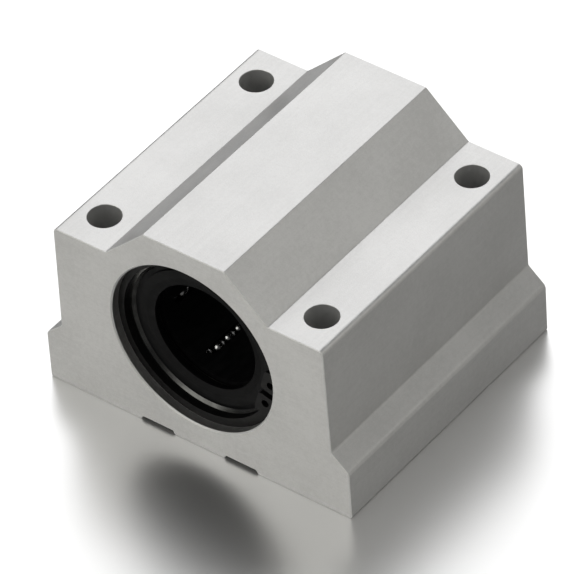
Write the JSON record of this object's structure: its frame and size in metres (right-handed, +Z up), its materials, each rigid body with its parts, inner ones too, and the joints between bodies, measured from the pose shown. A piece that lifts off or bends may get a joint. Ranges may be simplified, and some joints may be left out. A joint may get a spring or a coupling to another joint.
{
  "type": "linear ball bearing block",
  "caption": "Grooved aluminium block that holds a sealed linear ball bushing for a round shaft and bolts down from above or below.",
  "frame": {"origin": "middle of the flat base, on the surface the block stands on", "axes": "+Y along the shaft bore, +X across the block's width, +Z up from the base through the ridge"},
  "size_m": [0.076, 0.067, 0.0515],
  "materials": {
    "aluminium": "fine matte clear-anodised, bead-blasted",
    "bearing_steel": "ground hardened steel",
    "ball_steel": "polished bearing balls",
    "blackened_spring_steel": "black phosphated, oiled",
    "seal_rubber": "smooth moulded rubber",
    "cage_resin": "moulded resin"
  },
  "bodies": {
    "block": {"housing_block": "aluminium", "outer_sleeve": "bearing_steel", "ball_cage": "cage_resin", "front_retaining_ring": "blackened_spring_steel", "rear_retaining_ring": "blackened_spring_steel", "front_cage_ring": "bearing_steel", "rear_cage_ring": "bearing_steel", "front_seal": "seal_rubber", "rear_seal": "seal_rubber"},
    "loaded_row_1": {"loaded_row_1": "ball_steel"},
    "return_row_1": {"return_row_1": "ball_steel"},
    "front_turn_1": {"front_turn_1": "ball_steel"},
    "rear_turn_1": {"rear_turn_1": "ball_steel"},
    "loaded_row_2": {"loaded_row_2": "ball_steel"},
    "return_row_2": {"return_row_2": "ball_steel"},
    "front_turn_2": {"front_turn_2": "ball_steel"},
    "rear_turn_2": {"rear_turn_2": "ball_steel"},
    "loaded_row_3": {"loaded_row_3": "ball_steel"},
    "return_row_3": {"return_row_3": "ball_steel"},
    "front_turn_3": {"front_turn_3": "ball_steel"},
    "rear_turn_3": {"rear_turn_3": "ball_steel"},
    "loaded_row_4": {"loaded_row_4": "ball_steel"},
    "return_row_4": {"return_row_4": "ball_steel"},
    "front_turn_4": {"front_turn_4": "ball_steel"},
    "rear_turn_4": {"rear_turn_4": "ball_steel"},
    "loaded_row_5": {"loaded_row_5": "ball_steel"},
    "return_row_5": {"return_row_5": "ball_steel"},
    "front_turn_5": {"front_turn_5": "ball_steel"},
    "rear_turn_5": {"rear_turn_5": "ball_steel"},
    "loaded_row_6": {"loaded_row_6": "ball_steel"},
    "return_row_6": {"return_row_6": "ball_steel"},
    "front_turn_6": {"front_turn_6": "ball_steel"},
    "rear_turn_6": {"rear_turn_6": "ball_steel"}
  },
  "joints": [
    {"name": "loaded_row_1_roll", "type": "slide", "parent": "block", "child": "loaded_row_1", "axis": [0, 1, 0], "range_m": [-0.0016, 0.0016]},
    {"name": "return_row_1_roll", "type": "slide", "parent": "block", "child": "return_row_1", "axis": [0, 1, 0], "range_m": [-0.0016, 0.0016]},
    {"name": "front_turn_1_roll", "type": "hinge", "parent": "block", "child": "front_turn_1", "pos_m": [0.00774, -0.02045, 0.03871], "axis": [0.1323, 0, 0.9912], "range_deg": [-38.2, 38.2]},
    {"name": "rear_turn_1_roll", "type": "hinge", "parent": "block", "child": "rear_turn_1", "pos_m": [0.00774, 0.02045, 0.03871], "axis": [0.1323, 0, 0.9912], "range_deg": [-38.2, 38.2]},
    {"name": "loaded_row_2_roll", "type": "slide", "parent": "block", "child": "loaded_row_2", "axis": [0, 1, 0], "range_m": [-0.0016, 0.0016]},
    {"name": "return_row_2_roll", "type": "slide", "parent": "block", "child": "return_row_2", "axis": [0, 1, 0], "range_m": [-0.0016, 0.0016]},
    {"name": "front_turn_2_roll", "type": "hinge", "parent": "block", "child": "front_turn_2", "pos_m": [0.01488, -0.02045, 0.02565], "axis": [0.9245, 0, 0.3811], "range_deg": [-38.2, 38.2]},
    {"name": "rear_turn_2_roll", "type": "hinge", "parent": "block", "child": "rear_turn_2", "pos_m": [0.01488, 0.02045, 0.02565], "axis": [0.9245, 0, 0.3811], "range_deg": [-38.2, 38.2]},
    {"name": "loaded_row_3_roll", "type": "slide", "parent": "block", "child": "loaded_row_3", "axis": [0, 1, 0], "range_m": [-0.0016, 0.0016]},
    {"name": "return_row_3_roll", "type": "slide", "parent": "block", "child": "return_row_3", "axis": [0, 1, 0], "range_m": [-0.0016, 0.0016]},
    {"name": "front_turn_3_roll", "type": "hinge", "parent": "block", "child": "front_turn_3", "pos_m": [0.00713, -0.02045, 0.01294], "axis": [0.7923, 0, -0.6101], "range_deg": [-38.2, 38.2]},
    {"name": "rear_turn_3_roll", "type": "hinge", "parent": "block", "child": "rear_turn_3", "pos_m": [0.00713, 0.02045, 0.01294], "axis": [0.7923, 0, -0.6101], "range_deg": [-38.2, 38.2]},
    {"name": "loaded_row_4_roll", "type": "slide", "parent": "block", "child": "loaded_row_4", "axis": [0, 1, 0], "range_m": [-0.0016, 0.0016]},
    {"name": "return_row_4_roll", "type": "slide", "parent": "block", "child": "return_row_4", "axis": [0, 1, 0], "range_m": [-0.0016, 0.0016]},
    {"name": "front_turn_4_roll", "type": "hinge", "parent": "block", "child": "front_turn_4", "pos_m": [-0.00774, -0.02045, 0.01329], "axis": [-0.1323, 0, -0.9912], "range_deg": [-38.2, 38.2]},
    {"name": "rear_turn_4_roll", "type": "hinge", "parent": "block", "child": "rear_turn_4", "pos_m": [-0.00774, 0.02045, 0.01329], "axis": [-0.1323, 0, -0.9912], "range_deg": [-38.2, 38.2]},
    {"name": "loaded_row_5_roll", "type": "slide", "parent": "block", "child": "loaded_row_5", "axis": [0, 1, 0], "range_m": [-0.0016, 0.0016]},
    {"name": "return_row_5_roll", "type": "slide", "parent": "block", "child": "return_row_5", "axis": [0, 1, 0], "range_m": [-0.0016, 0.0016]},
    {"name": "front_turn_5_roll", "type": "hinge", "parent": "block", "child": "front_turn_5", "pos_m": [-0.01488, -0.02045, 0.02635], "axis": [-0.9245, 0, -0.3811], "range_deg": [-38.2, 38.2]},
    {"name": "rear_turn_5_roll", "type": "hinge", "parent": "block", "child": "rear_turn_5", "pos_m": [-0.01488, 0.02045, 0.02635], "axis": [-0.9245, 0, -0.3811], "range_deg": [-38.2, 38.2]},
    {"name": "loaded_row_6_roll", "type": "slide", "parent": "block", "child": "loaded_row_6", "axis": [0, 1, 0], "range_m": [-0.0016, 0.0016]},
    {"name": "return_row_6_roll", "type": "slide", "parent": "block", "child": "return_row_6", "axis": [0, 1, 0], "range_m": [-0.0016, 0.0016]},
    {"name": "front_turn_6_roll", "type": "hinge", "parent": "block", "child": "front_turn_6", "pos_m": [-0.00713, -0.02045, 0.03906], "axis": [-0.7923, 0, 0.6101], "range_deg": [-38.2, 38.2]},
    {"name": "rear_turn_6_roll", "type": "hinge", "parent": "block", "child": "rear_turn_6", "pos_m": [-0.00713, 0.02045, 0.03906], "axis": [-0.7923, 0, 0.6101], "range_deg": [-38.2, 38.2]}
  ],
  "couplings": [
    {"joint": "return_row_1_roll", "follows": "loaded_row_1_roll", "ratio": -1},
    {"joint": "front_turn_1_roll", "follows": "loaded_row_1_roll", "rad_per_m": -416.67},
    {"joint": "rear_turn_1_roll", "follows": "loaded_row_1_roll", "rad_per_m": -416.67},
    {"joint": "return_row_2_roll", "follows": "loaded_row_2_roll", "ratio": -1},
    {"joint": "front_turn_2_roll", "follows": "loaded_row_2_roll", "rad_per_m": -416.67},
    {"joint": "rear_turn_2_roll", "follows": "loaded_row_2_roll", "rad_per_m": -416.67},
    {"joint": "return_row_3_roll", "follows": "loaded_row_3_roll", "ratio": -1},
    {"joint": "front_turn_3_roll", "follows": "loaded_row_3_roll", "rad_per_m": -416.67},
    {"joint": "rear_turn_3_roll", "follows": "loaded_row_3_roll", "rad_per_m": -416.67},
    {"joint": "return_row_4_roll", "follows": "loaded_row_4_roll", "ratio": -1},
    {"joint": "front_turn_4_roll", "follows": "loaded_row_4_roll", "rad_per_m": -416.67},
    {"joint": "rear_turn_4_roll", "follows": "loaded_row_4_roll", "rad_per_m": -416.67},
    {"joint": "return_row_5_roll", "follows": "loaded_row_5_roll", "ratio": -1},
    {"joint": "front_turn_5_roll", "follows": "loaded_row_5_roll", "rad_per_m": -416.67},
    {"joint": "rear_turn_5_roll", "follows": "loaded_row_5_roll", "rad_per_m": -416.67},
    {"joint": "return_row_6_roll", "follows": "loaded_row_6_roll", "ratio": -1},
    {"joint": "front_turn_6_roll", "follows": "loaded_row_6_roll", "rad_per_m": -416.67},
    {"joint": "rear_turn_6_roll", "follows": "loaded_row_6_roll", "rad_per_m": -416.67}
  ]
}
